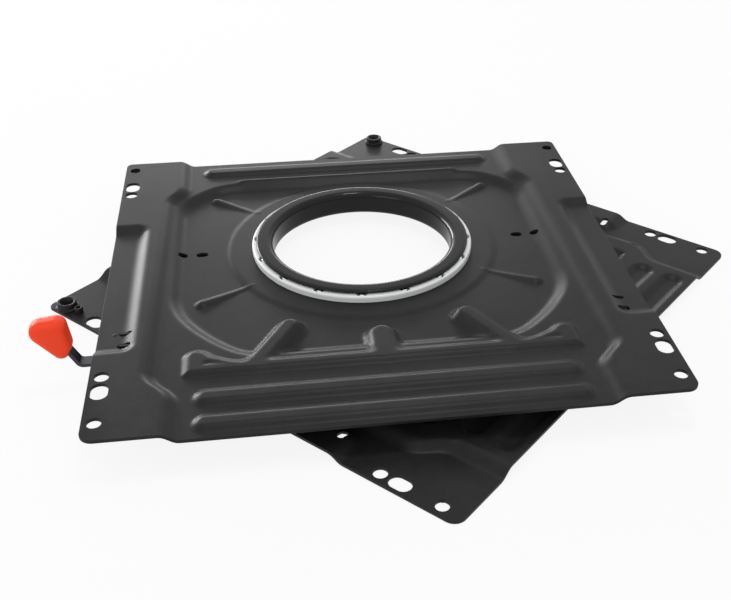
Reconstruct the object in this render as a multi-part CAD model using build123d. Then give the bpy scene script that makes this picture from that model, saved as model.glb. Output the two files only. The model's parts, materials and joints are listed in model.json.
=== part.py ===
from build123d import *
from math import cos, radians, sin, tan
import os

# A swivel base for a camper seat: two pressed steel plates, one upside down below
# the other, turn about a ball bearing held together by a flanged collar.
# Millimetres. The origin is on the swivel axis, midway between the two plates, +Z up.
# The upper plate lies square to X and Y, the lower one is turned by rest_turn.

# Plate pressing, seen with its mounting lands up
base_height = 30.0
sheet = 2.5
plate_width = 386.0
plate_front = -226.0
plate_back = 148.5
front_corner_radius = 8.5
back_corner_radius = 5.0
rest_turn = 45.0

# Depths below the mounting lands; the well's floor lies below the bearing's mesa
strip_depth = 5.5
pocket_depth = 5.0
mesa_rise = 1.1
star_depth = 2.7
bead_depth = 2.6
narrow_bead_depth = 3.8

# Slopes of the pressed walls, in degrees from upright
step_slope = 45.0
star_slope = 35.0

# Corner radii of the pressed forms in plan, at mid-height of their walls
land_corner = 7.0
pocket_corner = 6.0
well_corner = 12.0
star_corner = 4.0

# Plan of the lands: widths from the plate's side edge to mid-height of their inner step
side_x = plate_width / 2
land_narrow_x = side_x - 52.5
land_wide_front_x = side_x - 37.0
land_wide_back_x = side_x - 42.0
land_jog_front = (-184.0, -168.0)
land_jog_back = (78.0, 94.0)

# Plan of the side pockets and their slots
pocket_inner_x = side_x - 22.0
pocket_front = -133.0
pocket_back = 31.0
slot_x = side_x - 18.5
slot_length = 8.5
slot_widths = {-111.0: 3.5, -125.0: 5.0}

# Plan of the well round the bearing
well_half_width = side_x - 49.5
well_back = 105.0
well_back_corner = (well_half_width - 36.5, 73.0)
well_back_knee = (well_half_width - 14.5, 92.0)
well_front = -141.0
well_front_corner = (well_half_width - 50.5, -80.0)
well_front_knee = (well_half_width - 20.5, -116.0)
drain_holes = {125.5: 9.0, 140.3: 7.0}
drain_hole_width = 6.0

# Star-shaped stiffener at the front of the well
star_half_length = well_half_width - 8.5
star_front = -165.0
star_back = -151.0
star_lobe_radius = 9.0
star_lobe_back = -136.0
star_lobe_spread = 38.0
star_tongue_tip = 121.0

# Its tongues: angle, width and how far the middle line passes beside the swivel axis
star_tongues = ((-120.0, 16.5, 2.5), (-90.0, 20.0, 0.0), (-60.0, 16.5, -2.5))

# Ribs in the corners of the well
rib_angles = (37.5, 143.0, 210.0, 330.0)
rib_start = 112.0
rib_end = 149.0
rib_tip_radius = 3.0
rib_root_radius = 5.8

# Straight beads across the plate: y of the middle, half length, width, depth of the top
beads = (
    (-187.5, land_narrow_x - 15.5, 13.0, bead_depth),
    (-212.5, land_narrow_x - 15.5, 13.0, bead_depth),
    (131.0, land_narrow_x - 16.5, 13.0, bead_depth),
    (112.5, land_narrow_x - 45.5, 4.0, narrow_bead_depth),
)

# Fixing holes, in a row down each side
row_x = side_x - 8.0
corner_hole_y = -209.5
corner_hole_diameter = 9.2
slotted_hole_ys = (-178.5, 103.0)
slotted_hole_width = 11.3
slotted_hole_length = 16.0
round_hole_ys = (-163.3, 88.7)
round_hole_diameter = 9.6
nut_y = 135.0
nut_hole_diameter = 8.4
lower_extra_hole = (37.5 - side_x, -162.5)
lower_extra_hole_diameter = 8.0

# Weld nuts on the hidden side of the back corners
nut_thread_diameter = 6.8
nut_base_diameter = 17.0
nut_top_diameter = 14.0
nut_height = 5.5
stud_place = (side_x - 9.0, 123.0)
stud_diameter = 6.4
stud_height = 4.6

# Ball bearing
bore_diameter = 140.0
collar_wall = 2.5
collar_roll_radius = 5.0
collar_foot_radius = 4.0
lip_overhang = 3.0
lip_fall = 0.7
lip_edge_thickness = 1.5
foot_clearance = 0.3
plate_bore_clearance = 2.0
lower_bore_clearance = 0.1
race_clearance = 0.1
upper_ball_diameter = 7.5
upper_ball_pitch_radius = 80.2
upper_ball_count = 16
lower_ball_diameter = 6.0
lower_race_spacing = 11.0
lower_ball_count = 24
ball_pocket_clearance = 0.4
race_shoulder = 3.8
race_step_drop = 2.2
mesa_margin = 9.5
cage_clearance = 0.3
upper_cage_overhang = 6.3
upper_cage_lip_gap = 0.4
upper_cage_edge_radius = 1.6
lower_cage_half_width = 5.5
lower_cage_thickness = 3.0

# Release lever, its bracket and its latch
lever_y = -129.5
lever_width = 9.0
lever_thickness = 2.5
lever_gap = 0.6
lever_pivot_x = 33.0 - side_x
lever_elbow_x = -side_x - 10.3
lever_rise_angle = 62.0
lever_rise_length = 25.0
lever_bend_radius = 4.0
lever_eye_diameter = 9.0
pin_diameter = 4.0
pin_clearance = 0.06
pin_head_diameter = 7.0
pin_head_thickness = 1.6
pin_groove_inset = 1.4
clip_thickness = 0.8
clip_diameter = 7.0
bracket_sheet = 2.0
bracket_back = -104.5
bracket_outer_x = 5.5 - side_x
bracket_inner_x = 28.0 - side_x
cheek_outer_x = 24.5 - side_x
cheek_inner_x = 39.0 - side_x
cheek_drop = 7.6
cheek_clearance = 0.3
tab_length = 6.8
tab_stand = 1.6
rivet_place = (11.2 - side_x, -111.0)
rivet_shank_diameter = 3.2
rivet_head_diameter = 5.2
rivet_head_height = 1.1
latch_x = 16.6 - side_x
latch_width = 6.0
latch_thickness = 3.2
latch_foot_length = 9.0
latch_sheet = 2.5
latch_clearance = 0.3
latch_rivet_diameter = 3.0
spring_wire = 1.2
spring_leg_diameter = 1.16
spring_coils = 2.75
spring_gap = 0.4
spring_leg_x = 2.0 - side_x

# Plastic grip, in side view
grip_thickness = 14.0
grip_edge_radius = 3.5
grip_outer_lobe = (lever_elbow_x - 18.2, 31.0, 7.3)
grip_inner_lobe = (lever_elbow_x - 11.0, 32.0, 6.0)
grip_neck_lobe = (lever_elbow_x - 8.3, 15.0, 4.2)

# Heights that follow from the sizes above
land_top = base_height / 2
strip_top = land_top - strip_depth
pocket_top = land_top - pocket_depth
mesa_top = lower_ball_diameter / 2 + race_clearance + sheet
well_top = mesa_top - mesa_rise
race_top = mesa_top - race_step_drop
inner_land = land_top - sheet
inner_pocket = pocket_top - sheet
inner_strip = strip_top - sheet
lip_radius = upper_ball_pitch_radius + lip_overhang
upper_cage_radius = upper_ball_pitch_radius + upper_cage_overhang
race_step_radius = upper_ball_pitch_radius + race_shoulder
lower_ball_pitch_radius = race_step_radius + lower_race_spacing
mesa_radius = lower_ball_pitch_radius + mesa_margin
collar_outer_radius = bore_diameter / 2 + collar_wall
upper_bore_radius = collar_outer_radius + plate_bore_clearance
lower_bore_radius = bore_diameter / 2 + collar_foot_radius + lower_bore_clearance
foot_radius = race_step_radius - race_step_drop / 2 * tan(radians(step_slope)) - foot_clearance
foot_top = -race_top
foot_bottom = foot_top - collar_wall
upper_ball_z = race_top + race_clearance + upper_ball_diameter / 2
lip_underside = upper_ball_z + upper_ball_diameter / 2 + race_clearance
lip_top = lip_underside + collar_wall
plate_middle_y = (plate_front + plate_back) / 2
plate_length = plate_back - plate_front
beyond = 30.0


def plan_polygon(points):
    """A flat face with the given corners, in the plane z = 0, facing up."""
    return make_face(Polyline(*points, close=True))


def rounded(plan, radius):
    """The plan with all its corners rounded."""
    return fillet(plan.vertices(), radius)


def slot_plan(x, y, length, width, turn=0.0):
    """A round-ended slot about (x, y), its length along X before it is turned."""
    return Pos(x, y) * Rot(0, 0, turn) * SlotOverall(length, width)


def pad(plan, foot, top, slope=step_slope):
    """A raised form with sloping walls that has the given plan at mid-height."""
    half_run = (top - foot) / 2 * tan(radians(slope))
    grown = offset(plan, amount=half_run, kind=Kind.INTERSECTION)
    return extrude(Pos(0, 0, foot) * grown, amount=top - foot, taper=slope)


def pit(plan, floor, rim, slope=step_slope):
    """The room of a sunk form with sloping walls, of the given plan at mid-height."""
    half_run = (rim - floor) / 2 * tan(radians(slope))
    shrunk = offset(plan, amount=-half_run, kind=Kind.INTERSECTION)
    return extrude(Pos(0, 0, floor) * shrunk, amount=rim - floor, taper=-slope)


def land_plan(side):
    """Mounting land on one side, with the jogs that clear the well."""
    far = plate_width / 2 + beyond
    points = [
        (far, plate_front - beyond),
        (land_narrow_x, plate_front - beyond),
        (land_narrow_x, land_jog_front[0]),
        (land_wide_front_x, land_jog_front[1]),
        (land_wide_back_x, land_jog_back[0]),
        (land_narrow_x, land_jog_back[1]),
        (land_narrow_x, plate_back + beyond),
        (far, plate_back + beyond),
    ]
    return rounded(plan_polygon([(side * x, y) for x, y in points][::side]), land_corner)


def pocket_plan(side):
    """Side pocket that opens at the plate's edge."""
    far = plate_width / 2 + beyond
    width = far - pocket_inner_x
    middle = side * (pocket_inner_x + far) / 2
    length = pocket_back - pocket_front
    return Pos(middle, (pocket_front + pocket_back) / 2) * RectangleRounded(width, length, pocket_corner)


def well_plan():
    """Well round the bearing: a square with its corners cut off in two facets."""
    right = [
        (well_front_corner[0], well_front),
        well_front_knee,
        (well_half_width, well_front_corner[1]),
        (well_half_width, well_back_corner[1]),
        well_back_knee,
        (well_back_corner[0], well_back),
    ]
    left = [(-x, y) for x, y in reversed(right)]
    return rounded(plan_polygon(right + left), well_corner)


def star_forms():
    """Bar with a slanted lobe at each end and three tongues that point at the bearing."""
    bar = RectangleRounded(2 * star_half_length, star_back - star_front, star_corner)
    plans = [Pos(0, (star_back + star_front) / 2) * bar]
    circles = (
        (star_half_length - star_lobe_radius, star_lobe_back - star_lobe_radius, star_lobe_radius),
        (star_half_length - star_corner, star_front + star_corner, star_corner),
        (star_half_length - star_lobe_spread, star_back - star_corner, star_corner),
    )
    for side in (-1, 1):
        plans.append(make_hull([CenterArc((side * x, y), radius, 0, 360) for x, y, radius in circles]))
    for angle, width, aside in star_tongues:
        root_y = star_front + width / 2 + abs(aside)
        root = root_y / sin(radians(angle)) + width / 2
        middle = (root + star_tongue_tip) / 2
        plans.append(Rot(0, 0, angle) * slot_plan(middle, aside, root - star_tongue_tip, width))
    return [pad(plan, well_top, land_top - star_depth, star_slope) for plan in plans]


def corner_ribs():
    """Ribs that rise from the well's floor towards its corners, parts of cones with round ends."""
    root = rib_end - rib_root_radius
    axis_z = well_top - rib_tip_radius
    cone = Rot(0, 90, 0) * Cone(rib_tip_radius, rib_root_radius, root - rib_start)
    rib = Pos((rib_start + root) / 2, 0, axis_z) * cone + Pos(root, 0, axis_z) * Sphere(rib_root_radius)
    return [Rot(0, 0, angle) * rib for angle in rib_angles]


def pressed_form():
    """The solid whose top is the outer face of the pressing, before it gets its thickness."""
    depth = 2 * base_height
    slab = Pos(0, plate_middle_y, strip_top - depth / 2) * Box(
        plate_width + 2 * beyond, plate_length + 2 * beyond, depth
    )
    form = slab - pit(well_plan(), well_top, strip_top)
    form += pad(Circle(mesa_radius), well_top, mesa_top)
    for piece in star_forms() + corner_ribs():
        form += piece
    for y, half_length, width, bead_top in beads:
        plan = slot_plan(0, y, 2 * half_length, width)
        form += pad(plan, strip_top, land_top - bead_top)
    for side in (-1, 1):
        land = pad(land_plan(side), strip_top, land_top)
        form += land - pit(pocket_plan(side), pocket_top, land_top)
    race = pit(Circle(race_step_radius), race_top, mesa_top)
    return form - race


def plate_outline():
    """Plate outline as an upright prism with round corners."""
    plan = Rectangle(plate_width, plate_length)
    plan = fillet(plan.vertices().group_by(Axis.Y)[0], front_corner_radius)
    plan = fillet(plan.vertices().group_by(Axis.Y)[-1], back_corner_radius)
    return Pos(0, plate_middle_y, -base_height) * extrude(plan, amount=3 * base_height)


def pierced_holes(bore_radius, extra_holes=()):
    """Bore, fixing holes, slots and drain holes as one cutter."""
    plans = [Circle(bore_radius)]
    for side in (-1, 1):
        x = side * row_x
        plans.append(Pos(x, corner_hole_y) * Circle(corner_hole_diameter / 2))
        plans.append(Pos(x, nut_y) * Circle(nut_hole_diameter / 2))
        plans += [Pos(x, y) * Circle(round_hole_diameter / 2) for y in round_hole_ys]
        plans += [slot_plan(x, y, slotted_hole_length, slotted_hole_width, 90) for y in slotted_hole_ys]
        plans += [Pos(side * slot_x, y) * Rectangle(slot_length, width) for y, width in slot_widths.items()]
        plans += [slot_plan(side * away, 0, length, drain_hole_width) for away, length in drain_holes.items()]
    for x, y, diameter in extra_holes:
        plans.append(Pos(x, y) * Circle(diameter / 2))
    return [extrude(Pos(0, 0, -base_height) * plan, amount=3 * base_height) for plan in plans]


def pressed_plate(form, bore_radius, extra_holes=()):
    """The sheet between the pressed form and the same form one sheet lower."""
    plate = (form - Pos(0, 0, -sheet) * form) & plate_outline()
    return plate - pierced_holes(bore_radius, extra_holes)


def weld_nut(side):
    """Low flanged nut pressed and welded under the land at one back corner."""
    profile = plan_polygon([
        (nut_thread_diameter / 2, 0),
        (nut_base_diameter / 2, 0),
        (nut_base_diameter / 2, nut_height * 0.3),
        (nut_top_diameter / 2, nut_height),
        (nut_thread_diameter / 2, nut_height),
    ])
    nut = revolve(Rot(90, 0, 0) * profile, Axis.Z)
    return Pos(side * row_x, nut_y, inner_land) * Rot(180, 0, 0) * nut


def to_lower(shape):
    """Turn a piece of the upper plate over and round to its place on the lower plate."""
    return Rot(0, 0, rest_turn) * Rot(0, 180, 0) * shape


def collar():
    """Bearing collar: a wall with a lip rolled over the upper balls and a foot flange."""
    bore = bore_diameter / 2
    roll = collar_roll_radius
    foot = collar_foot_radius
    wall = collar_wall
    roll_z = lip_top - roll
    foot_z = foot_bottom + foot
    outer = lip_radius
    crown = upper_ball_pitch_radius
    edge_top = lip_top - lip_fall
    edge_bottom = edge_top - lip_edge_thickness
    lines = [
        Line((bore, foot_z), (bore, roll_z)),
        RadiusArc((bore, roll_z), (bore + roll, lip_top), roll),
        Line((bore + roll, lip_top), (crown, lip_top)),
        ThreePointArc((crown, lip_top), ((crown + outer) / 2, lip_top - lip_fall * 0.3), (outer, edge_top)),
        Line((outer, edge_top), (outer, edge_bottom)),
        Line((outer, edge_bottom), (crown, lip_underside)),
        Line((crown, lip_underside), (bore + roll, lip_underside)),
        RadiusArc((bore + roll, lip_underside), (bore + wall, roll_z), -(roll - wall)),
        Line((bore + wall, roll_z), (bore + wall, foot_z)),
        RadiusArc((bore + wall, foot_z), (bore + foot, foot_top), -(foot - wall)),
        Line((bore + foot, foot_top), (foot_radius, foot_top)),
        Line((foot_radius, foot_top), (foot_radius, foot_bottom)),
        Line((foot_radius, foot_bottom), (bore + foot, foot_bottom)),
        RadiusArc((bore + foot, foot_bottom), (bore, foot_z), foot),
    ]
    return revolve(Rot(90, 0, 0) * make_face(Wire(lines)), Axis.Z)


def ring_of(count, radius, z, shape):
    """Copies of a shape, evenly spaced on a circle about the swivel axis."""
    step = 360.0 / count
    return [Rot(0, 0, step * i - 90) * Pos(radius, 0, z) * shape for i in range(count)]


def upper_balls():
    return ring_of(upper_ball_count, upper_ball_pitch_radius, upper_ball_z, Sphere(upper_ball_diameter / 2))


def lower_balls():
    return ring_of(lower_ball_count, lower_ball_pitch_radius, 0, Sphere(lower_ball_diameter / 2))


def ball_pockets(balls, diameter):
    """Upright bores that hold the balls with a little play."""
    bore = Cylinder(diameter / 2 + ball_pocket_clearance, base_height)
    return [Pos(ball.center().X, ball.center().Y, 0) * bore for ball in balls]


def upper_ball_cage():
    """Plastic ring that keeps the upper balls apart, seen as the pale ring round the lip."""
    inner = collar_outer_radius + cage_clearance
    outer = upper_cage_radius
    seat = mesa_top + cage_clearance
    floor = race_top + cage_clearance
    step = race_step_radius - race_step_drop - cage_clearance
    top = lip_underside - upper_cage_lip_gap
    edge = upper_cage_edge_radius
    chamfer = collar_roll_radius - collar_wall + cage_clearance
    lines = Polyline(
        (outer - edge, top), (inner + chamfer, top), (inner, top - chamfer), (inner, floor),
        (step, floor), (step + race_step_drop, seat), (outer, seat), (outer, top - edge),
    )
    lines += RadiusArc((outer, top - edge), (outer - edge, top), -edge)
    profile = make_face(lines)
    ring = revolve(Rot(90, 0, 0) * profile, Axis.Z)
    return ring - ball_pockets(upper_balls(), upper_ball_diameter)


def lower_ball_cage():
    """Flat plastic ring that keeps the lower balls apart."""
    outer = lower_ball_pitch_radius + lower_cage_half_width
    inner = lower_ball_pitch_radius - lower_cage_half_width
    ring = Cylinder(outer, lower_cage_thickness) - Cylinder(inner, lower_cage_thickness)
    return ring - ball_pockets(lower_balls(), lower_ball_diameter)


# Heights and edges of the lever, shared by its bracket, pin, latch and spring
web_top = inner_pocket
web_bottom = web_top - bracket_sheet
lever_top = web_bottom - lever_gap
lever_bottom = lever_top - lever_thickness
pivot_z = lever_top - lever_thickness / 2
lever_front = lever_y - lever_width / 2
lever_back = lever_y + lever_width / 2
cheek_front = lever_front - cheek_clearance - bracket_sheet
cheek_back = lever_back + cheek_clearance + bracket_sheet
cheek_bottom = web_bottom - cheek_drop
spring_radius = pin_diameter / 2 + spring_gap + spring_wire / 2
spring_pitch = 1.25 * spring_wire
spring_back = cheek_front - spring_gap - spring_wire / 2
spring_front = spring_back - spring_coils * spring_pitch
clip_back = spring_front - spring_wire / 2 - spring_gap
pin_end = clip_back - clip_thickness - pin_groove_inset
latch_tip = latch_clearance - inner_strip


def block(x_span, y_span, z_span):
    """A box that fills the given spans."""
    spans = (x_span, y_span, z_span)
    middle = [(low + high) / 2 for low, high in spans]
    return Pos(*middle) * Box(*[high - low for low, high in spans])


def rod_along_y(x, z, diameter, y_low, y_high):
    """A round bar parallel to Y."""
    return Pos(x, (y_low + y_high) / 2, z) * Rot(90, 0, 0) * Cylinder(diameter / 2, y_high - y_low)


def pin_bore():
    """Room for the lever's pin, with its running clearance."""
    return rod_along_y(lever_pivot_x, pivot_z, pin_diameter + 2 * pin_clearance, pin_end, cheek_back + 1)


def lever_bracket():
    """Folded bracket: web under the pocket, two cheeks for the pin, two tabs through the slots."""
    solid = block((bracket_outer_x, bracket_inner_x), (cheek_front, bracket_back), (web_bottom, web_top))
    for low in (cheek_front, cheek_back - bracket_sheet):
        solid += block((cheek_outer_x, cheek_inner_x), (low, low + bracket_sheet), (cheek_bottom, web_top))
    for y in slot_widths:
        solid += block(
            (-slot_x - tab_length / 2, -slot_x + tab_length / 2),
            (y - bracket_sheet / 2, y + bracket_sheet / 2),
            (web_bottom, pocket_top + tab_stand),
        )
    rivet_bore = Pos(rivet_place[0], rivet_place[1], 0) * Cylinder(rivet_shank_diameter / 2, base_height)
    return solid - pin_bore() - rivet_bore


def round_rivet(shank_diameter, head_diameter, head_height, grip_low, grip_high):
    """Rivet along Z through what lies between two heights: a domed head on top, a flat one below."""
    low = (Align.CENTER, Align.CENTER, Align.MIN)
    head = head_diameter / 2
    dome_radius = (head ** 2 + head_height ** 2) / (2 * head_height)
    shank = Cylinder(shank_diameter / 2, grip_high - grip_low, align=low)
    flat_head = Cylinder(head, head_height, align=low)
    dome = Pos(0, 0, head_height - dome_radius) * Sphere(dome_radius) & flat_head
    rivet = Pos(0, 0, grip_low) * shank + Pos(0, 0, grip_high) * dome
    return rivet + Pos(0, 0, grip_low - head_height) * flat_head


def bracket_rivet():
    """Rivet that holds the bracket's web to the pocket, its head seen on top."""
    rivet = round_rivet(rivet_shank_diameter, rivet_head_diameter, rivet_head_height, web_bottom, pocket_top)
    return Pos(rivet_place[0], rivet_place[1], 0) * rivet


def lever_pin():
    """Pin of the lever, with a flat head behind the back cheek."""
    shank = rod_along_y(lever_pivot_x, pivot_z, pin_diameter, pin_end, cheek_back)
    head = rod_along_y(lever_pivot_x, pivot_z, pin_head_diameter, cheek_back, cheek_back + pin_head_thickness)
    return shank + head


def lever_pin_clip():
    """Push-on washer near the pin's end, in front of the spring."""
    disc = rod_along_y(lever_pivot_x, pivot_z, clip_diameter, clip_back - clip_thickness, clip_back)
    return disc - pin_bore()


def round_wire(path, diameter):
    """Wire of round section along a smooth path."""
    return sweep(Plane(origin=path @ 0, z_dir=path % 0) * Circle(diameter / 2), path=path)


def lever_spring():
    """Torsion spring on the pin: one leg against the land, the other over the lever."""
    coil = Helix(spring_pitch, spring_coils * spring_pitch, spring_radius, lefthand=True)
    coil = Pos(lever_pivot_x, spring_back, pivot_z) * Rot(90, 0, 0) * Rot(0, 0, 90) * coil
    over_lever = lever_top + spring_gap + spring_wire / 2
    under_land = inner_land - spring_gap
    toe = (spring_leg_x, lever_y, over_lever)
    knee = (spring_leg_x, spring_back, over_lever)
    leg_end = coil @ 0 + Vector(spring_wire / 2, 0, 0)
    rest_end = coil @ 1 - Vector(0, 0, spring_wire / 2)
    leg = round_wire(FilletPolyline(toe, knee, leg_end, radius=spring_wire), spring_leg_diameter)
    rest = round_wire(Line(rest_end, (rest_end.X, rest_end.Y, under_land)), spring_leg_diameter)
    return round_wire(coil, spring_wire) + leg + rest


def lever_arm():
    """Steel strip with an eye at its pivot, bent up at its outer end into the grip."""
    rise = radians(lever_rise_angle)
    end_x = lever_elbow_x - lever_rise_length * cos(rise)
    end_z = pivot_z + lever_rise_length * sin(rise)
    path = FilletPolyline(
        (lever_pivot_x, pivot_z), (lever_elbow_x, pivot_z), (end_x, end_z), radius=lever_bend_radius
    )
    side_view = Plane.XZ * trace(path, lever_thickness)
    strip = Pos(0, lever_back, 0) * extrude(side_view, amount=lever_width)
    eye = rod_along_y(lever_pivot_x, pivot_z, lever_eye_diameter, lever_front, lever_back)
    return strip + eye - pin_bore() - latch_rivet_bores()


def latch_rivet_places():
    """The two rivets of the latch stand in line across the lever."""
    offset_y = lever_width / 4
    return [(latch_x, lever_y - offset_y), (latch_x, lever_y + offset_y)]


def latch_rivet_bores():
    bore = Cylinder(latch_rivet_diameter / 2, 2 * base_height)
    return [Pos(x, y, 0) * bore for x, y in latch_rivet_places()]


def latch():
    """Angle plate riveted under the lever; its prong drops through a slot of the lower plate."""
    foot_span = (latch_x - latch_foot_length / 2, latch_x + latch_foot_length / 2)
    prong_span = (latch_x - latch_width / 2, latch_x + latch_width / 2)
    prong_y = min(slot_widths)
    prong_back = prong_y + latch_thickness / 2
    foot = block(foot_span, (lever_front, prong_back), (lever_bottom - latch_sheet, lever_bottom))
    prong = block(prong_span, (prong_y - latch_thickness / 2, prong_back), (latch_tip, lever_bottom))
    return foot + prong - latch_rivet_bores()


def latch_rivets():
    """Flush rivets through the lever and the latch's foot."""
    length = lever_thickness + latch_sheet
    rivet = Pos(0, 0, lever_top - length / 2) * Cylinder(latch_rivet_diameter / 2, length)
    return [Pos(x, y, 0) * rivet for x, y in latch_rivet_places()]


def lever_grip(arm):
    """Moulded grip on the lever's end, in side view the hull of three circles."""
    lobes = (grip_outer_lobe, grip_inner_lobe, grip_neck_lobe)
    outline = make_hull([CenterArc((x, z), radius, 0, 360) for x, z, radius in lobes])
    body = extrude(Plane.XZ * outline, amount=grip_thickness / 2, both=True)
    edges = body.edges().filter_by(Plane.XZ)
    body = fillet(edges, grip_edge_radius)
    return Pos(0, lever_y, 0) * body - arm


def corner_stud():
    """Short stud beside one weld nut."""
    stud = Cylinder(stud_diameter / 2, stud_height, align=(Align.CENTER, Align.CENTER, Align.MAX))
    return Pos(stud_place[0], stud_place[1], inner_land) * stud


form = pressed_form()
upper_extra = [(*rivet_place, rivet_shank_diameter)]
lower_extra = [(*lower_extra_hole, lower_extra_hole_diameter)]
arm = lever_arm()
nodes = {
    "upper_plate": pressed_plate(form, upper_bore_radius, upper_extra),
    "lower_plate": to_lower(pressed_plate(form, lower_bore_radius, lower_extra)),
    "upper_nut_left": weld_nut(-1),
    "upper_nut_right": weld_nut(1),
    "lower_nut_left": to_lower(weld_nut(1)),
    "lower_nut_right": to_lower(weld_nut(-1)),
    "lower_stud": to_lower(corner_stud()),
    "collar": collar(),
    "upper_ball_cage": upper_ball_cage(),
    "upper_balls": Compound(upper_balls()),
    "lower_ball_cage": lower_ball_cage(),
    "lower_balls": Compound(lower_balls()),
    "lever_bracket": lever_bracket(),
    "bracket_rivet": bracket_rivet(),
    "lever_pin": lever_pin(),
    "lever_pin_clip": lever_pin_clip(),
    "lever_spring": lever_spring(),
    "lever_arm": arm,
    "latch": latch(),
    "latch_rivets": Compound(latch_rivets()),
    "lever_grip": lever_grip(arm),
}

os.makedirs("parts", exist_ok=True)
for name, shape in nodes.items():
    export_step(shape, f"parts/{name}.step")
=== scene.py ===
import json
import bpy
import numpy as np
from mathutils import Matrix, Vector


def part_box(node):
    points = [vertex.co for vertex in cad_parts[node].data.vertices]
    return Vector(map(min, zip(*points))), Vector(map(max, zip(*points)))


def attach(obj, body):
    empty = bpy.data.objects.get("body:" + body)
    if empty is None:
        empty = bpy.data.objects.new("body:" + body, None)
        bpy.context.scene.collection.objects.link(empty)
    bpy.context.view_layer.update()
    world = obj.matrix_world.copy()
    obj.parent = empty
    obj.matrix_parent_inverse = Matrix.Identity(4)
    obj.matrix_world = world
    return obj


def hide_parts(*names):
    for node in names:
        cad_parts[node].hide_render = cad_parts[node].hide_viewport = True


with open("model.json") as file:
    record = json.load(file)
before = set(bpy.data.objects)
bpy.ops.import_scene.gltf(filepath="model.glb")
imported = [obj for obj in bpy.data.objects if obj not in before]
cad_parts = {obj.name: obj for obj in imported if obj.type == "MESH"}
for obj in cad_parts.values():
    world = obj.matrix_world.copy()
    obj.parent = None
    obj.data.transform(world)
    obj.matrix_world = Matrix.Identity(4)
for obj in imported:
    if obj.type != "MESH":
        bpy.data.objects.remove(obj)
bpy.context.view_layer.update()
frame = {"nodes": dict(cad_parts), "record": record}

# A swivel base for a camper seat: two black pressed steel plates on a ball bearing, one turned
# under the other, with a white ball cage under a gloss black rolled collar and an orange lever.
# Sizes are in millimetres, +Z up, the origin on the swivel axis midway between the plates.
MM = 0.001

# Outline of a pressed plate, as seen with its mounting lands up, its thickness and the round of its
# cut edges, and how far the lower plate is turned from the upper one in degrees
PLATE_HALF, PLATE_FRONT, PLATE_BACK = 193.0, -226.0, 148.5
FRONT_CORNER, BACK_CORNER = 8.5, 5.0
SHEET = 2.5
EDGE_ROUND = 0.35
LOWER_TURN = 45.0

# Heights of the plate's forms, the slope of their walls in degrees from upright, and the width over
# which they are blended: BEND where nothing else is given, or one for a form's shoulder and its foot
LAND, STRIP, POCKET, WELL, STAR = 15.0, 9.5, 10.0, 4.5, 12.3
MESA, RACE = 5.6, 3.4
STEP_SLOPE, STAR_SLOPE, MESA_SLOPE = 45.0, 35.0, 60.0
BEND = 4.0
STAR_SHOULDER, STAR_FOOT = 4.0, 3.6
MESA_SHOULDER, MESA_FOOT = 1.1, 1.6
BEAD_SHOULDER, BEAD_FOOT = 2.4, 2.6
RIB_FOOT, RACE_BEND = 2.6, 0.6

# Radii of the bearing's mesa and of the step down to its race
MESA_RADIUS, RACE_RADIUS = 104.5, 84.0

# Inner edge of the side lands: its distance from the plate's middle at four places along the plate,
# and the shifts along the plate whose mean softens its corners
LAND_ALONG = (-184.0, -168.0, 78.0, 94.0)
LAND_ACROSS = (140.5, 156.0, 151.0, 140.5)
LAND_SOFTENING = (-6, -3, 0, 3, 6)

# Pocket at the side: middle, half sizes and corner radius, running out over the plate's edge
POCKET_BOX = (221.0, -51.0, 50.0, 82.0, 6.0)

# Well round the bearing: the right half of its outline, anticlockwise, and how widely the outline's
# corners are blended
WELL_RIGHT = [
    (93.0, -141.0), (123.0, -116.0), (143.5, -80.0), (143.5, 73.0), (129.0, 92.0), (107.0, 105.0),
]
WELL_OUTLINE = WELL_RIGHT + [(-x, y) for x, y in reversed(WELL_RIGHT)]
WELL_CORNER = 9.0

# Star: its bar as middle, half sizes and corner radius, the two circles of a lobe and of its heel, and
# the tongues, each with an angle, a half width and how far it passes beside the swivel axis. A
# tongue's tip is TONGUE_TIP off the axis and its root at y TONGUE_ROOT. The hollows are the widths
# over which heel and tongues blend into the rest.
STAR_BAR = (0, -158.0, 135.0, 7.0, 4.0)
STAR_LOBE = ((126.0, -145.0, 9.0), (126.0, -156.0, 9.0))
STAR_HEEL = ((123.5, -146.5, 7.0), (100.0, -156.0, 4.5))
STAR_TONGUES = ((-120.0, 8.25, 2.5), (-90.0, 10.0, 0.0), (-60.0, 8.25, -2.5))
TONGUE_TIP, TONGUE_ROOT = 121.0, -152.5
HEEL_HOLLOW, TONGUE_HOLLOW = 4.0, 6.0

# Ribs of round section in the well's corners: angles, where the radius starts and ends growing, how
# near to the axis a rib may come, the radius, its growth, and how far below the well's floor the
# rib's middle line lies
RIB_ANGLES = (37.5, 143.0, 210.0, 330.0)
RIB_START, RIB_END, RIB_CUT = 112.0, 143.2, 100
RIB_RADIUS, RIB_GROWTH, RIB_SINK = 3.0, 2.8, 3.0

# Beads across the plate: y of the middle, half length, half width, height of the top
BEADS = (
    (-187.5, 125.0, 6.5, 12.4),
    (-212.5, 125.0, 6.5, 12.4),
    (131.0, 124.0, 6.5, 12.4),
    (112.5, 95.0, 2.0, 11.2),
)

# Holes in a row down each side: y and radius of the round ones, y of the slotted ones, and half the
# straight run and the end radius of those
ROW_X = 185.0
ROUND_HOLES = ((-209.5, 4.6), (-163.3, 4.8), (88.7, 4.8), (135.0, 4.2))
SLOTTED_HOLES = (-178.5, 103.0)
SLOTTED_HALF, SLOTTED_RADIUS = 2.35, 5.65

# Slots in the pockets, with y and half width, and drain holes in the well, with x and half the
# straight run
TAB_X, TAB_HALF = 174.5, 4.25
TAB_SLOTS = ((-111.0, 1.75), (-125.0, 2.5))
DRAIN_HOLES = ((125.5, 1.5), (140.3, 0.5))
DRAIN_RADIUS = 3.0

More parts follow.
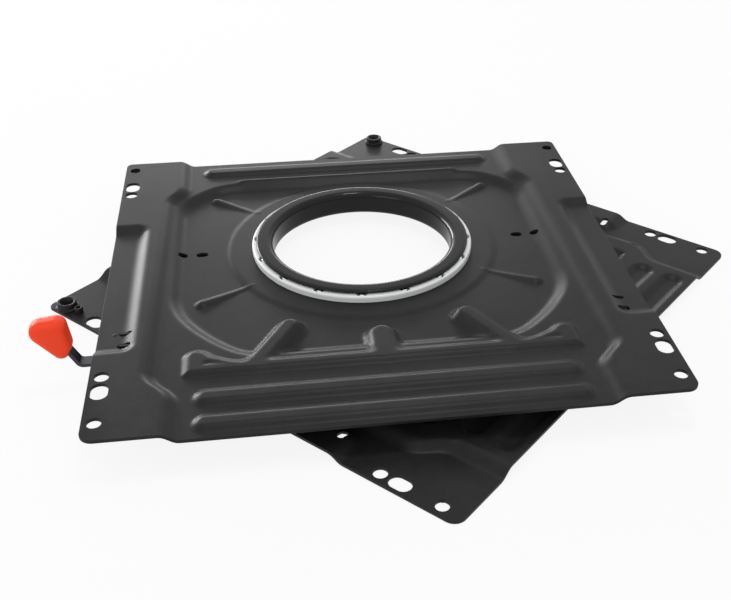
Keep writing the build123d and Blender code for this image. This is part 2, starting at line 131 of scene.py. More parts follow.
# What the two plates don't share: the bore's radius, and one more hole as x, y and radius
UPPER_BORE, UPPER_HOLE = 74.5, (-181.8, -111.0, 1.6)
LOWER_BORE, LOWER_HOLE = 74.1, (-155.5, -162.5, 4.0)

# Grid lines of a plate, finer over small forms: a position and the spacing that starts there. Then the
# steps over which the outline's gradient and the form's slope are measured.
GRID_HALF_X = (
    (0, 2.4), (94.0, 1.7), (134.0, 1.3), (162.0, 1.6), (170.25, 1.42), (178.75, 1.1), (193.0, 1),
)
GRID_Y = (
    (-226.0, 1.4), (-190.0, 1.15), (-156.0, 1.45), (-127.5, 1.25), (-122.5, 1.4), (-112.75, 1.17),
    (-109.25, 2.6), (-80.0, 1.8), (-50.0, 2.6), (-4.0, 1.0), (4.0, 2.7), (76.0, 1.25), (148.5, 1),
)
GRADIENT_STEP, NORMAL_STEP = 1e-3, 0.8

# Upper ball row: count, radius of the row, radius and level of the balls, and the angle of the first
# one in degrees, which puts balls where the photograph shows them
BALL_COUNT, BALL_RING, BALL_RADIUS, BALL_LEVEL = 16, 80.5, 3.75, 7.25
BALL_TURN = -96.1

# Grip: the circles of its side view as x, z and radius, its middle, half its thickness, and the power
# that makes its pillow full
GRIP_CIRCLES = np.array([
    (-223.9, 31.2, 8.0), (-214.0, 34.2, 6.3), (-211.2, 20.0, 5.1), (-213.8, 15.0, 5.0),
])
GRIP_MIDDLE = (-216.0, -129.5, 26.0)
GRIP_HALF = 7.0
GRIP_FULLNESS = 4

# Sections of a weld nut with a flared mouth and of the hollow stud, as radius and height over the
# plate's hidden face, from inside the hollow outwards and down
NUT_SECTION = [
    (3.4, 2.6), (5.0, 5.0), (5.2, 5.3), (5.5, 5.45), (5.9, 5.5), (6.4, 5.5), (6.8, 5.4), (7.05, 5.2),
    (7.2, 4.8), (7.2, 2.2), (7.3, 1.8), (7.6, 1.6), (8.1, 1.5), (8.4, 1.3), (8.5, 1.0), (8.5, 0.0),
    (3.4, 0.0),
]
STUD_SECTION = [
    (1.5, 1.6), (1.7, 4.2), (1.9, 4.5), (2.2, 4.6), (2.6, 4.55), (2.9, 4.4), (3.1, 4.1), (3.2, 3.6),
    (3.2, 0.0), (0.4, 0.0), (0.4, 1.4),
]

# Camera: the photograph's size, focal length and optical middle in pixels, the point looked at, how
# far off the camera stands, its heading, tilt and roll in degrees, and its sensor's width
PICTURE_WIDTH, PICTURE_HEIGHT = 731.0, 600.0
FOCAL_PIXELS, MIDDLE_PIXEL = 1041.31, (405.17, 303.84)
CAMERA_TARGET = (19.66, -105.24, 15.0)
CAMERA_DISTANCE = 738.83
CAMERA_HEADING, CAMERA_TILT, CAMERA_ROLL = 8.24, 33.52, 0.36
SENSOR = 36.0

# Lamps: name, place in metres, width and height in metres, power in watts
LAMPS = (
    ("streak_left", (-1.5, 2.1, 0.42), (1.7, 0.5), 44.0),
    ("edge_back", (0.05, 2.85, 0.55), (1.2, 0.4), 13.0),
    ("top_glint", (0.15, 0.0, 1.5), (0.2, 0.2), 4.0),
    ("front_fill", (-1.6, -1.9, 1.1), (1.4, 1.4), 11.0),
)

# Floor: half its side in metres, its level in millimetres, and how much of it glows where it is seen
FLOOR_HALF, FLOOR_LEVEL = 6.0, -15.2
FLOOR_GLOW = 0.88

# Strength of the white surround as light on the object; where it is seen, it is 1
AMBIENT = 0.70


# Distances and blends

def soft_min(a, b, k):
    """The lesser of two arrays, with a parabola of height k / 4 where they cross."""
    h = np.maximum(k - np.abs(a - b), 0.0)
    return np.minimum(a, b) - h * h / (4 * k)


def soft_max(a, b, k):
    """The greater of two arrays, blended as in soft_min."""
    return -soft_min(-a, -b, k)


def from_box(x, y, cx, cy, hx, hy, r):
    """Signed distance from a rectangle with corners of radius r, negative inside: how far a point is past
    the sides of the rectangle r smaller all round, as the hypotenuse of the two, or inside it the
    greater of the two, less r."""
    qx, qy = np.abs(x - cx) - hx + r, np.abs(y - cy) - hy + r
    return np.hypot(np.maximum(qx, 0), np.maximum(qy, 0)) + np.minimum(np.maximum(qx, qy), 0) - r


def from_slot(x, y, cx, cy, ux, uy, half, r):
    """Signed distance from a round-ended slot: how far a point is from its middle line, which has half
    length `half` along (ux, uy), less r."""
    dx, dy = x - cx, y - cy
    along = np.clip(dx * ux + dy * uy, -half, half)
    return np.hypot(dx - along * ux, dy - along * uy) - r


def from_taper(x, y, a, b):
    """Signed distance from a strip that runs from circle a to circle b, each an (x, y, radius): how far a
    point is from the line of middles, less the radius there."""
    ux, uy = b[0] - a[0], b[1] - a[1]
    t = np.clip(((x - a[0]) * ux + (y - a[1]) * uy) / (ux * ux + uy * uy), 0.0, 1.0)
    return np.hypot(x - a[0] - t * ux, y - a[1] - t * uy) - a[2] - t * (b[2] - a[2])


def from_convex(x, y, corners, k):
    """Signed distance from a convex outline given anticlockwise: the soft greatest of the distances from
    its edges' lines."""
    d = np.full(np.shape(x), -1e3)
    for (ax, ay), (bx, by) in zip(corners, corners[1:] + corners[:1]):
        length = np.hypot(bx - ax, by - ay)
        d = soft_max(d, ((x - ax) * (by - ay) - (y - ay) * (bx - ax)) / length, k)
    return d


def pad(d, top, foot, slope, k):
    """Height of a raised form: flat at its top inside the outline, then falling at the slope's angle from
    upright, its drop the distance past the outline over the slope's tangent, with the outline at
    mid-height and a rounded shoulder."""
    run = np.tan(np.radians(slope))
    return soft_min(np.full(np.shape(d), top), (top + foot) / 2 - d / run, k)


def pit(d, floor, rim, k):
    """Height of a sunk form: flat at its floor inside the outline, then rising at the steps' slope,
    again with the outline at mid-height."""
    run = np.tan(np.radians(STEP_SLOPE))
    return soft_max(np.full(np.shape(d), floor), (rim + floor) / 2 + d / run, k)


# The pressed plate

def star_distance(x, y):
    """Signed distance from the star: a bar, a slanted lobe at each end and three tongues towards the
    bearing, which meet the bar in soft hollows."""
    far = np.abs(x)
    d = np.minimum(from_box(x, y, *STAR_BAR), from_taper(far, y, *STAR_LOBE))
    d = soft_min(d, from_taper(far, y, *STAR_HEEL), HEEL_HOLLOW)
    for angle, half, aside in STAR_TONGUES:
        ux, uy = np.cos(np.radians(angle)), np.sin(np.radians(angle))
        along = np.clip(x * ux + y * uy, TONGUE_TIP + half, TONGUE_ROOT / uy)
        tongue = np.hypot(x - along * ux + aside * uy, y - along * uy - aside * ux) - half
        d = soft_min(d, tongue, TONGUE_HOLLOW)
    return d


def rib_height(x, y, angle):
    """Height of one rib: the root of its radius squared less the squares of the distance across it and
    of the distance past its end, so that it is round in section and at its end."""
    ux, uy = np.cos(np.radians(angle)), np.sin(np.radians(angle))
    along, across = x * ux + y * uy, x * uy - y * ux
    radius = RIB_RADIUS + RIB_GROWTH * np.clip((along - RIB_START) / (RIB_END - RIB_START), 0.0, 1.0)
    beyond = np.maximum(along - RIB_END, 0.0)
    round_top = np.sqrt(np.maximum(radius ** 2 - across ** 2 - beyond ** 2, 0.0))
    return np.where((along > RIB_CUT) & (round_top > 0), WELL - RIB_SINK + round_top, -5.0)


def form_height(x, y):
    """Height of the pressing's outer face: the strip level, less the well, plus mesa, star, ribs,
    beads, and lands with their pockets, each joined to the rest with a rounded bend."""
    far = np.abs(x)
    r = np.hypot(x, y)
    z = np.full(np.shape(x), STRIP)
    z = soft_min(z, pit(from_convex(x, y, WELL_OUTLINE, WELL_CORNER), WELL, STRIP, BEND), BEND)
    z = soft_max(z, pad(r - MESA_RADIUS, MESA, WELL, MESA_SLOPE, MESA_SHOULDER), MESA_FOOT)
    z = soft_max(z, pad(star_distance(x, y), STAR, WELL, STAR_SLOPE, STAR_SHOULDER), STAR_FOOT)
    for angle in RIB_ANGLES:
        z = soft_max(z, rib_height(x, y, angle), RIB_FOOT)
    for cy, half, grow, top in BEADS:
        bead = from_slot(x, y, 0, cy, 1, 0, half - grow, grow)
        z = soft_max(z, pad(bead, top, STRIP, STEP_SLOPE, BEAD_SHOULDER), BEAD_FOOT)
    spans = [np.interp(y + shift, LAND_ALONG, LAND_ACROSS) for shift in LAND_SOFTENING]
    land = pad(np.mean(spans, axis=0) - far, LAND, STRIP, STEP_SLOPE, BEND)
    pocket = pit(from_box(far, y, *POCKET_BOX), POCKET, LAND, BEND)
    z = soft_max(z, soft_min(land, pocket, BEND), BEND)
    return soft_min(z, pit(r - RACE_RADIUS, RACE, MESA, RACE_BEND), RACE_BEND)


def sheet_distance(x, y, bore, extra):
    """Signed distance from the steel in plan, negative inside it: the outline less every hole."""
    far = np.abs(x)
    corner = np.where(y < 0, FRONT_CORNER, BACK_CORNER)
    middle, half = (PLATE_FRONT + PLATE_BACK) / 2, (PLATE_BACK - PLATE_FRONT) / 2
    d = from_box(x, y, 0, middle, PLATE_HALF, half, corner)
    d = np.maximum(d, bore - np.hypot(x, y))
    for cy, radius in ROUND_HOLES:
        d = np.maximum(d, radius - np.hypot(far - ROW_X, y - cy))
    for cy in SLOTTED_HOLES:
        d = np.maximum(d, -from_slot(far, y, ROW_X, cy, 0, 1, SLOTTED_HALF, SLOTTED_RADIUS))
    for cy, half in TAB_SLOTS:
        d = np.maximum(d, -from_box(far, y, TAB_X, cy, TAB_HALF, half, 0.0))
    for cx, half in DRAIN_HOLES:
        d = np.maximum(d, -from_slot(far, y, cx, 0, 1, 0, half, DRAIN_RADIUS))
    cx, cy, radius = extra
    return np.maximum(d, radius - np.hypot(x - cx, y - cy))


def spaced(stops):
    """Grid lines from (position, spacing) stops: even steps of about the spacing up to the next stop."""
    lines = [np.array([stops[0][0]])]
    for (a, step), (b, _) in zip(stops, stops[1:]):
        lines.append(np.linspace(a, b, max(int(round((b - a) / step)), 1) + 1)[1:])
    return np.concatenate(lines)


def beside_edge(grid):
    """Which points of a grid of signed distances move onto the edge: of each pair of neighbours that it
    passes between, the nearer one, and any point on it."""
    near = grid == 0.0
    for low, high in ((np.s_[:-1, :], np.s_[1:, :]), (np.s_[:, :-1], np.s_[:, 1:])):
        a, b = grid[low], grid[high]
        cross = (a < 0) != (b < 0)
        near[low] |= cross & (np.abs(a) <= np.abs(b))
        near[high] |= cross & (np.abs(b) < np.abs(a))
    return near.ravel()


def cut_grid(xs, ys, inside):
    """A flat grid cut to the outline where the signed distance `inside` is nought. Points beside the edge
    move onto it along the distance's gradient, and a cell with three corners left is a triangle, its
    fourth number -1. Gives x, y, the unit gradient in x and y, and the faces."""
    x, y = (a.ravel() for a in np.meshgrid(xs, ys, indexing="ij"))
    nx, ny = len(xs), len(ys)
    d = inside(x, y)
    d[np.abs(d) < 1e-6] = 0.0
    near = beside_edge(d.reshape(nx, ny))
    gx = (inside(x + GRADIENT_STEP, y) - inside(x - GRADIENT_STEP, y)) / (2 * GRADIENT_STEP)
    gy = (inside(x, y + GRADIENT_STEP) - inside(x, y - GRADIENT_STEP)) / (2 * GRADIENT_STEP)
    size = np.maximum(np.hypot(gx, gy), 1e-6)
    gx, gy = gx / size, gy / size
    x = np.where(near, x - gx * d, x)
    y = np.where(near, y - gy * d, y)
    good = near | (d < 0)
    number = np.arange(nx * ny).reshape(nx, ny)
    quads = np.stack([number[:-1, :-1], number[1:, :-1], number[1:, 1:], number[:-1, 1:]], -1)
    quads = quads.reshape(-1, 4)
    held = good[quads]
    full = quads[held.all(1)]
    three = quads[held.sum(1) == 3]
    lost = np.argmin(good[three], axis=1)
    corner = [np.take_along_axis(three, (lost[:, None] + k) % 4, 1)[:, 0] for k in (1, 2, 3)]
    faces = np.concatenate([full, np.stack([*corner, np.full(len(three), -1)], -1)])
    used = np.unique(faces[faces >= 0])
    renumber = np.full(nx * ny, -1)
    renumber[used] = np.arange(len(used))
    faces = np.where(faces >= 0, renumber[faces], -1)
    return x[used], y[used], gx[used], gy[used], faces


def open_edges(faces, count):
    """Edges that one face alone uses, as rows of two point numbers in that face's order."""
    ends = np.where(faces[:, [1, 2, 3, 0]] >= 0, faces[:, [1, 2, 3, 0]], faces[:, [0]])
    edges = np.stack([faces, ends], -1).reshape(-1, 2)
    edges = edges[(edges[:, 0] >= 0) & (edges[:, 0] != edges[:, 1])]
    forward = edges[:, 0] * count + edges[:, 1]
    backward = edges[:, 1] * count + edges[:, 0]
    return edges[~np.isin(forward, backward)]


def turned_over(faces, shift):
    """The same faces wound the other way, for points numbered `shift` higher."""
    over = faces.copy()
    is_quad = over[:, 3] >= 0
    over[is_quad] = over[is_quad][:, ::-1]
    over[~is_quad, :3] = over[~is_quad, :3][:, ::-1]
    return np.where(over >= 0, over + shift, -1)


def pressed_sheet(bore, extra):
    """Points, faces and normals of one plate. A grid cut to the plate's outline gets the height of the
    form; the underside is the same sheet one thickness lower, and a rim with a small round joins the
    two. The normals are upright less the form's slope in x and y, and level along the rim."""
    half_x = spaced(GRID_HALF_X)
    xs = np.concatenate([-half_x[:0:-1], half_x])
    x, y, gx, gy, top = cut_grid(xs, spaced(GRID_Y), lambda px, py: sheet_distance(px, py, bore, extra))
    z = form_height(x, y)
    count = len(x)
    rim = open_edges(top, count)
    on_rim = np.unique(rim)
    place = np.full(count, -1)
    place[on_rim] = np.arange(len(on_rim))
    rx, ry, rz = x[on_rim], y[on_rim], z[on_rim]
    x[on_rim] -= gx[on_rim] * EDGE_ROUND
    y[on_rim] -= gy[on_rim] * EDGE_ROUND
    points = np.concatenate([
        np.stack([x, y, z], -1),
        np.stack([x, y, z - SHEET], -1),
        np.stack([rx, ry, rz - EDGE_ROUND], -1),
        np.stack([rx, ry, rz - SHEET + EDGE_ROUND], -1),
    ])
    a, b = rim.T
    high_a, high_b = place[a] + 2 * count, place[b] + 2 * count
    low_a, low_b = high_a + len(on_rim), high_b + len(on_rim)
    faces = np.concatenate([
        top,
        turned_over(top, count),
        np.stack([b, a, high_a, high_b], -1),
        np.stack([high_b, high_a, low_a, low_b], -1),
        np.stack([low_b, low_a, a + count, b + count], -1),
    ])
    h = NORMAL_STEP
    fall_x = (form_height(x - h, y) - form_height(x + h, y)) / (2 * h)
    fall_y = (form_height(x, y - h) - form_height(x, y + h)) / (2 * h)
    up = np.stack([fall_x, fall_y, np.ones(count)], -1)
    up /= np.linalg.norm(up, axis=1)[:, None]
    out = np.stack([gx[on_rim], gy[on_rim], np.zeros(len(on_rim))], -1)
    return points, faces, np.concatenate([up, -up, out, out])


def to_lower(points):
    """Points or normals of the upper plate's pressing turned over and round to the lower plate."""
    turn = Matrix.Rotation(np.radians(LOWER_TURN), 3, "Z") @ Matrix.Rotation(np.radians(180.0), 3, "Y")
    return np.asarray(points) @ np.array(turn).T


# Turned and rounded pieces

def ring_faces(around, count):
    """Faces of a closed profile of `count` points carried once round Z in `around` steps."""
    i, j = (a.ravel() for a in np.meshgrid(np.arange(around), np.arange(count), indexing="ij"))
    i2, j2 = (i + 1) % around, (j + 1) % count
    return np.stack([i * count + j, i * count + j2, i2 * count + j2, i2 * count + j], -1)


def capped_faces(rows, around):
    """Faces of closed rows of points, one above the other, with a pole below the first row and one above
    the last, numbered after them."""
    i, j = (a.ravel() for a in np.meshgrid(np.arange(rows - 1), np.arange(around), indexing="ij"))
    k = (j + 1) % around
    quads = np.stack([i * around + j, i * around + k, (i + 1) * around + k, (i + 1) * around + j], -1)
    ring = np.arange(around)
    turn, none, last = (ring + 1) % around, np.full(around, -1), (rows - 1) * around
    low = np.stack([turn, ring, np.full(around, rows * around), none], -1)
    high = np.stack([last + ring, last + turn, np.full(around, rows * around + 1), none], -1)
    return np.concatenate([quads, low, high])


def round_z(radii, around):
    """x and y of each radius carried once round Z, as rows of one angle."""
    turn = np.linspace(0, 2 * np.pi, around, endpoint=False)[:, None]
    return radii * np.cos(turn), radii * np.sin(turn)


def arc(cx, cz, radius, start, end, steps=14):
    """Points of a circle's arc between two angles in degrees."""
    t = np.radians(np.linspace(start, end, steps))
    return np.stack([cx + radius * np.cos(t), cz + radius * np.sin(t)], -1)


def collar_ring(around=360):
    """Points and faces of the collar: its closed section, with a rolled lip and a foot flange, turned
    about Z. Past its crown the lip's top falls with the square of the distance outwards."""
    bore, wall, roll, foot = 70.0, 2.5, 5.0, 4.0
    lip_top, foot_bottom, lip_edge, foot_edge = 13.6, -5.9, 83.2, 82.6
    crown, crown_end, crown_fall, edge, edge_fall = 80.2, 82.5, 0.49, 0.75, 0.7
    along = np.linspace(0.0, 1.0, 8)
    slope = np.stack([crown + along * (crown_end - crown), lip_top - crown_fall * along ** 2], -1)
    section = np.concatenate([
        [(bore, foot_bottom + foot)],
        arc(bore + roll, lip_top - roll, roll, 180, 90),
        slope,
        arc(lip_edge - edge, lip_top - edge_fall - edge, edge, 70, -60, 6),
        [(crown, lip_top - wall)],
        arc(bore + roll, lip_top - roll, roll - wall, 90, 180, 8),
        arc(bore + foot, foot_bottom + foot, foot - wall, 180, 270, 8),
        [(foot_edge, foot_bottom + wall), (foot_edge, foot_bottom)],
        arc(bore + foot, foot_bottom + foot, foot, 270, 185, 12),
    ])
    r, z = section.T
    x, y = round_z(r, around)
    return np.stack([x, y, np.tile(z, (around, 1))], -1).reshape(-1, 3), ring_faces(around, len(r))


def ball_angles():
    """Angles of the upper balls about Z."""
    return np.radians(BALL_TURN + np.arange(BALL_COUNT) * 360.0 / BALL_COUNT)


def cage_ring(around=1152):
    """Points and faces of the ball cage: a closed profile turned about Z, its top sunk to one level
    inside a circle round each ball."""
    top, floor, seat, inner, outer, step, step_run = 10.7, 3.7, 5.9, 72.8, 86.5, 81.5, 2.2
    edge, chamfer, chamfer_fall, gap, slack = 1.6, 75.6, 2.8, 0.1, 0.01
    pocket_floor, pocket_radius = 6.25, BALL_RADIUS + 0.75
    curve = np.radians(np.linspace(0.0, 90.0, 7))
    rim = np.stack([outer - edge + edge * np.sin(curve), top - edge + edge * np.cos(curve)], -1)
    across = np.linspace(chamfer, outer - edge - gap, 16)
    flat = np.stack([across, np.full(16, top)], -1)
    under = [(outer, seat), (step + step_run, seat), (step, floor), (inner, floor)]
    r, z = np.concatenate([flat, rim, under, [(inner, top - chamfer_fall)]]).T
    x, y = round_z(r, around)
    z = np.tile(z, (around, 1))
    for angle in ball_angles():
        apart = np.hypot(x - BALL_RING * np.cos(angle), y - BALL_RING * np.sin(angle))
        z = np.where((z > top - edge - slack) & (apart < pocket_radius), pocket_floor, z)
    return np.stack([x, y, z], -1).reshape(-1, 3), ring_faces(around, len(r))


def ball_set(rows=17, around=32):
    """Points and faces of the upper balls: spheres by latitude and longitude, closed at their poles."""
    lat = np.radians(np.linspace(-84.0, 84.0, rows))[:, None]
    lon = np.linspace(0, 2 * np.pi, around, endpoint=False)
    unit = np.stack([np.cos(lat) * np.cos(lon), np.cos(lat) * np.sin(lon), np.sin(lat) + 0 * lon], -1)
    unit = np.concatenate([unit.reshape(-1, 3), [(0, 0, -1), (0, 0, 1)]])
    faces = capped_faces(rows, around)
    middles = [(BALL_RING * np.cos(a), BALL_RING * np.sin(a), BALL_LEVEL) for a in ball_angles()]
    points = np.concatenate([unit * BALL_RADIUS + middle for middle in middles])
    shifts = np.arange(BALL_COUNT) * len(unit)
    return points, np.concatenate([np.where(faces < 0, -1, faces + shift) for shift in shifts])


def ring_on_plate(node, section, around):
    """Points and faces of a ring in the place of a node that stands on a plate's hidden face: the closed
    section turned about the middle of the node's box, standing up on the lower plate and hanging
    down from the upper one."""
    low, high = (np.array(corner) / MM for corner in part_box(node))
    on_lower = low[2] < 0
    way, foot = (1.0, low[2]) if on_lower else (-1.0, high[2])
    r, h = np.array(section if on_lower else section[::-1]).T
    x, y = round_z(r, around)
    middle = (low + high) / 2
    points = np.stack([middle[0] + x, middle[1] + y, np.tile(foot + way * h, (around, 1))], -1)
    return points.reshape(-1, 3), ring_faces(around, len(r))


def grip_form(around=96, rows=48):
    """Points and faces of the grip, a pillow: its outline in side view is the hull of its circles, the
    farthest point of all the circles in each direction, spaced evenly along the edge; at an angle v
    through the thickness the outline shrinks to (1 - |sin v|^4)^(1/4) and lies sin v times half the
    thickness to the side."""
    theta = np.linspace(0, 2 * np.pi, 2880, endpoint=False)
    way = np.stack([np.cos(theta), np.sin(theta)], -1)
    reach = way @ GRIP_CIRCLES[:, :2].T + GRIP_CIRCLES[:, 2]
    best = GRIP_CIRCLES[np.argmax(reach, axis=1)]
    edge = best[:, :2] + best[:, 2:] * way
    edge = np.concatenate([edge, edge[:1]])
    run = np.concatenate([[0], np.cumsum(np.hypot(*np.diff(edge, axis=0).T))])
    even = np.linspace(0, run[-1], around, endpoint=False)
    outline = np.stack([np.interp(even, run, edge[:, 0]), np.interp(even, run, edge[:, 1])], -1)
    v = np.radians(np.linspace(-88.0, 88.0, rows))[:, None]
    shrink = (1 - np.abs(np.sin(v)) ** GRIP_FULLNESS) ** (1 / GRIP_FULLNESS)
    mx, my, mz = GRIP_MIDDLE
    x = mx + shrink * (outline[:, 0] - mx)
    z = mz + shrink * (outline[:, 1] - mz)
    y = my + GRIP_HALF * np.sin(v) + 0 * x
    poles = [(mx, my - GRIP_HALF, mz), (mx, my + GRIP_HALF, mz)]
    return np.concatenate([np.stack([x, y, z], -1).reshape(-1, 3), poles]), capped_faces(rows, around)


# Finishes

class Nodes:
    """A node tree to which one method adds every node."""

    def __init__(self, tree):
        self.tree = tree

    def node(self, kind, settings, sockets):
        """A node of a kind with its settings, and values or links for its sockets by order or name."""
        made = self.tree.nodes.new(kind)
        for key, value in settings.items():
            setattr(made, key, value)
        named = sockets.items() if isinstance(sockets, dict) else enumerate(sockets)
        for key, value in named:
            self.feed(made.inputs[key], value)
        return made

    def feed(self, socket, value):
        """Links a socket or field to a socket, or sets a plain value on it."""
        if isinstance(value, Field):
            value = value.socket
        if isinstance(value, bpy.types.NodeSocket):
            self.tree.links.new(value, socket)
        else:
            socket.default_value = value


class Field:
    """A socket that takes part in sums: every operator adds a Math node."""

    def __init__(self, nodes, socket):
        self.nodes = nodes
        self.socket = socket

    def math(self, operation, *terms):
        node = self.nodes.node("ShaderNodeMath", {"operation": operation}, terms)
        return Field(self.nodes, node.outputs[0])

    def __add__(self, other):
        return self.math("ADD", self, other)

    def __radd__(self, other):
        return self.math("ADD", other, self)

    def __mul__(self, other):
        return self.math("MULTIPLY", self, other)

    def __rmul__(self, other):
        return self.math("MULTIPLY", other, self)

    def greatest(self, other):
        return self.math("MAXIMUM", self, other)

    def clear_of(self, low, high):
        """0 below low, 1 above high, smooth between."""
        settings = {"interpolation_type": "SMOOTHSTEP"}
        node = self.nodes.node("ShaderNodeMapRange", settings, (self, low, high, 0.0, 1.0))
        return Field(self.nodes, node.outputs[0])


class Finish(Nodes):
    """A material with one Principled shader and the pattern nodes that feed it."""

    def __init__(self, name, **fixed):
        self.material = bpy.data.materials.new(name)
        self.material.use_nodes = True
        super().__init__(self.material.node_tree)
        self.shader = self.tree.nodes["Principled BSDF"]
        self.place = self.node("ShaderNodeTexCoord", {}, ()).outputs["Object"]
        self.set(**fixed)

    def set(self, **inputs):
        """Feeds values or links to the shader's sockets, named with underscores for spaces."""
        for socket, value in inputs.items():
            self.feed(self.shader.inputs[socket.replace("_", " ")], value)

    def noise(self, scale, detail=2.0, roughness=0.5):
        """Noise from 0 to 1 about 0.5, its scale in cells per metre."""
        sockets = {"Vector": self.place, "Scale": scale, "Detail": detail, "Roughness": roughness}
        made = self.node("ShaderNodeTexNoise", {}, sockets)
        return Field(self, made.outputs["Fac"])

    def colour(self, amount, low, high):
        """A colour between two, by an amount from 0 to 1."""
        sockets = {0: amount, 6: (*low, 1), 7: (*high, 1)}
        return self.node("ShaderNodeMix", {"data_type": "RGBA"}, sockets).outputs[2]

    def bump(self, height, distance, strength):
        """Raises the surface by a height from 0 to 1, of a distance in metres."""
        sockets = {"Height": height, "Distance": distance, "Strength": strength}
        self.set(Normal=self.node("ShaderNodeBump", {}, sockets).outputs["Normal"])


def plate_coat():
    """Black electro-coat on pressed steel: satin, faintly mottled, with a fine orange peel."""
    f = Finish("plate_coat", Metallic=0.0, IOR=1.5, Specular_IOR_Level=0.14)
    cloud = f.noise(14.0, detail=3.0, roughness=0.6)
    grain = f.noise(900.0, roughness=0.6)
    mottle = f.noise(120.0, detail=3.0, roughness=0.6)
    shade = (cloud * 0.5 + mottle * 0.3 + grain * 0.2).clear_of(0.3, 0.72)
    f.set(Base_Color=f.colour(shade, low=(0.011, 0.011, 0.012), high=(0.021, 0.021, 0.022)))
    f.set(Roughness=0.31 + mottle * 0.10 + grain * 0.06)
    f.bump(grain * 0.6 + mottle * 0.4, distance=0.00012, strength=0.6)
    return f.material


def collar_coat():
    """Gloss black coat of the collar, slightly waved."""
    coat = {"Coat_Weight": 0.20, "Coat_Roughness": 0.08}
    f = Finish("collar_coat", Metallic=0.0, IOR=1.5, Specular_IOR_Level=0.09, **coat)
    wave = f.noise(60.0)
    grain = f.noise(1200.0)
    f.set(Base_Color=f.colour(wave, low=(0.006, 0.006, 0.007), high=(0.010, 0.010, 0.011)))
    f.set(Roughness=0.2 + grain * 0.1)
    f.bump(wave, distance=0.0002, strength=0.25)
    return f.material


def cage_plastic():
    """Cool white moulded plastic of the ball cages."""
    f = Finish("cage_plastic", IOR=1.48)
    wave = f.noise(40.0)
    grain = f.noise(1500.0)
    f.set(Base_Color=f.colour(wave, low=(0.72, 0.73, 0.73), high=(0.80, 0.81, 0.81)))
    f.set(Roughness=0.34 + grain * 0.14)
    f.bump(grain, distance=0.00004, strength=0.5)
    return f.material


def cloudy_steel(name, low, high, rough):
    """Plated or polished steel with fine cloudy wear."""
    f = Finish(name, Metallic=1.0)
    wave = f.noise(220.0, detail=3.0, roughness=0.6)
    grain = f.noise(2600.0)
    f.set(Base_Color=f.colour(wave, low, high))
    f.set(Roughness=rough + wave * 0.12)
    f.bump(grain, distance=0.00003, strength=0.4)
    return f.material


def grip_plastic():
    """Orange-red dipped grip, glossy, with slow waves."""
    f = Finish("grip_plastic", IOR=1.45, Specular_IOR_Level=0.2)
    wave = f.noise(90.0)
    grain = f.noise(1400.0)
    f.set(Base_Color=f.colour(wave, low=(0.88, 0.050, 0.014), high=(0.96, 0.070, 0.020)))
    f.set(Roughness=0.34 + grain * 0.12)
    f.bump(wave * 0.7 + grain * 0.3, distance=0.0003, strength=0.3)
    return f.material


FINISHES = {
    "plate_steel": plate_coat(),
    "collar_steel": collar_coat(),
    "white_plastic": cage_plastic(),
    "ball_steel": cloudy_steel("ball_steel", (0.62, 0.62, 0.64), (0.78, 0.78, 0.80), rough=0.10),
    "lever_steel": cloudy_steel("lever_steel", (0.035, 0.035, 0.04), (0.07, 0.07, 0.08), rough=0.34),
    "grip_plastic": grip_plastic(),
}


# The pieces

def add_piece(name, form, body, node, slot, sharp=40.0):
    """A new piece for a node: its form is points in millimetres, faces as rows of four point numbers, the
    last one -1 in a triangle, and perhaps a normal for each point, which then shades it. Without
    normals, edges of more than the sharp angle stay sharp."""
    points, faces, *normals = form
    rows = [row[row >= 0].tolist() for row in faces] if (faces < 0).any() else faces.tolist()
    mesh = bpy.data.meshes.new(name)
    mesh.from_pydata((points * MM).tolist(), [], rows)
    mesh.shade_smooth()
    if normals:
        mesh.normals_split_custom_set_from_vertices(normals[0].tolist())
    else:
        mesh.set_sharp_from_angle(angle=np.radians(sharp))
    mesh.materials.append(FINISHES[slot])
    piece = bpy.data.objects.new(name, mesh)
    bpy.context.scene.collection.objects.link(piece)
    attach(piece, body)
    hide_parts(node)


def add_pieces():
    """The plates, the grip, the collar, the upper cage with its balls, the nuts and the stud."""
    add_piece("upper_sheet", pressed_sheet(UPPER_BORE, UPPER_HOLE), "upper", "upper_plate", "plate_steel")
    points, faces, normals = pressed_sheet(LOWER_BORE, LOWER_HOLE)
    lower = (to_lower(points), faces, to_lower(normals))
    add_piece("lower_sheet", lower, "lower", "lower_plate", "plate_steel")
    add_piece("grip_shell", grip_form(), "lever", "lever_grip", "grip_plastic", sharp=60.0)
    add_piece("collar_ring", collar_ring(), "lower", "collar", "collar_steel")
    add_piece("cage_ring", cage_ring(), "upper_cage", "upper_ball_cage", "white_plastic")
    add_piece("race_balls", ball_set(), "upper_cage", "upper_balls", "ball_steel", sharp=60.0)
    for side in ("left", "right"):
        for body in ("upper", "lower"):
            node = f"{body}_nut_{side}"
            add_piece(f"{node}_ring", ring_on_plate(node, NUT_SECTION, 72), body, node, "plate_steel")
    stud = ring_on_plate("lower_stud", STUD_SECTION, 48)
    add_piece("lower_stud_ring", stud, "lower", "lower_stud", "plate_steel")


def dress_nodes():
    """Every node that comes with the frame gets the finish of its slot in the record."""
    for entry in frame["record"]["subparts"]:
        node = frame["nodes"][entry["node"]]
        node.data.materials.clear()
        node.data.materials.append(FINISHES[entry["material_slot"]])


# Camera, floor and light

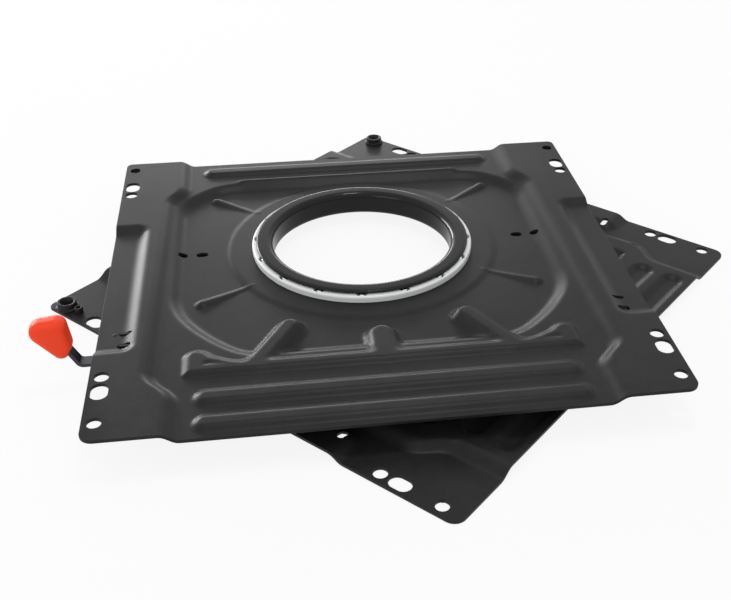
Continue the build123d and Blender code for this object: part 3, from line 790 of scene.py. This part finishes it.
def add_camera():
    """The photograph's viewpoint: a camera looking down at the front edge from a little to the left."""
    heading, tilt, roll = (np.radians(angle) for angle in (CAMERA_HEADING, CAMERA_TILT, CAMERA_ROLL))
    ahead = np.array([np.sin(heading) * np.cos(tilt), np.cos(heading) * np.cos(tilt), -np.sin(tilt)])
    right = np.array([np.cos(heading), -np.sin(heading), 0.0])
    up = np.cross(right, ahead)
    place = np.eye(4)
    place[:3, 0] = np.cos(roll) * right + np.sin(roll) * up
    place[:3, 1] = np.cos(roll) * up - np.sin(roll) * right
    place[:3, 2] = -ahead
    place[:3, 3] = (np.array(CAMERA_TARGET) - ahead * CAMERA_DISTANCE) * MM
    lens = bpy.data.cameras.new("camera")
    lens.sensor_width = SENSOR
    lens.lens = FOCAL_PIXELS / PICTURE_WIDTH * SENSOR
    lens.shift_x = (PICTURE_WIDTH / 2 - MIDDLE_PIXEL[0]) / PICTURE_WIDTH
    lens.shift_y = (MIDDLE_PIXEL[1] - PICTURE_HEIGHT / 2) / PICTURE_WIDTH
    lens.clip_start, lens.clip_end = 0.05, 30.0
    view = bpy.data.objects.new("camera", lens)
    view.matrix_world = Matrix(place.tolist())
    bpy.context.scene.collection.objects.link(view)
    bpy.context.scene.camera = view


def add_softbox(name, place, size, power):
    """A lamp that faces the origin."""
    lamp = bpy.data.lights.new(name, "AREA")
    lamp.shape, lamp.size, lamp.size_y, lamp.energy = "RECTANGLE", *size, power
    light = bpy.data.objects.new(name, lamp)
    turn = (-Vector(place)).to_track_quat("-Z", "Y").to_matrix().to_4x4()
    light.matrix_world = Matrix.Translation(place) @ turn
    bpy.context.scene.collection.objects.link(light)


def background_rays(nodes):
    """1 for rays that see the background: from the camera, a reflection or through a clear thing."""
    path = nodes.node("ShaderNodeLightPath", {}, ())
    camera, glossy, clear = (
        Field(nodes, path.outputs[f"Is {kind} Ray"]) for kind in ("Camera", "Glossy", "Transmission")
    )
    return camera.greatest(glossy).greatest(clear)


def add_floor():
    """A pale floor that shows near white and keeps a soft shadow."""
    near, far, level = -FLOOR_HALF, FLOOR_HALF, FLOOR_LEVEL * MM
    corners = [(near, near, level), (far, near, level), (far, far, level), (near, far, level)]
    mesh = bpy.data.meshes.new("floor")
    mesh.from_pydata(corners, [], [(0, 1, 2, 3)])
    floor = bpy.data.objects.new("floor", mesh)
    bpy.context.scene.collection.objects.link(floor)
    f = Finish("floor", Base_Color=(0.82, 0.82, 0.82, 1), Roughness=0.9)
    glow = f.node("ShaderNodeEmission", {}, {"Color": (1, 1, 1, 1), "Strength": 1.0})
    share = background_rays(f) * FLOOR_GLOW
    mix = f.node("ShaderNodeMixShader", {}, (share, f.shader.outputs[0], glow.outputs[0]))
    f.feed(f.tree.nodes["Material Output"].inputs["Surface"], mix.outputs[0])
    mesh.materials.append(f.material)


def add_surround():
    """A white surround that lights the object less than it shows."""
    world = bpy.data.worlds.new("surround")
    bpy.context.scene.world = world
    world.use_nodes = True
    sky = Nodes(world.node_tree)
    back = sky.tree.nodes["Background"]
    sky.feed(back.inputs["Color"], (1, 1, 1, 1))
    sky.feed(back.inputs["Strength"], AMBIENT + (1.0 - AMBIENT) * background_rays(sky))


add_pieces()
dress_nodes()
add_camera()
for lamp in LAMPS:
    add_softbox(*lamp)
add_floor()
add_surround()

scene = bpy.context.scene
scene.view_settings.view_transform = "Standard"
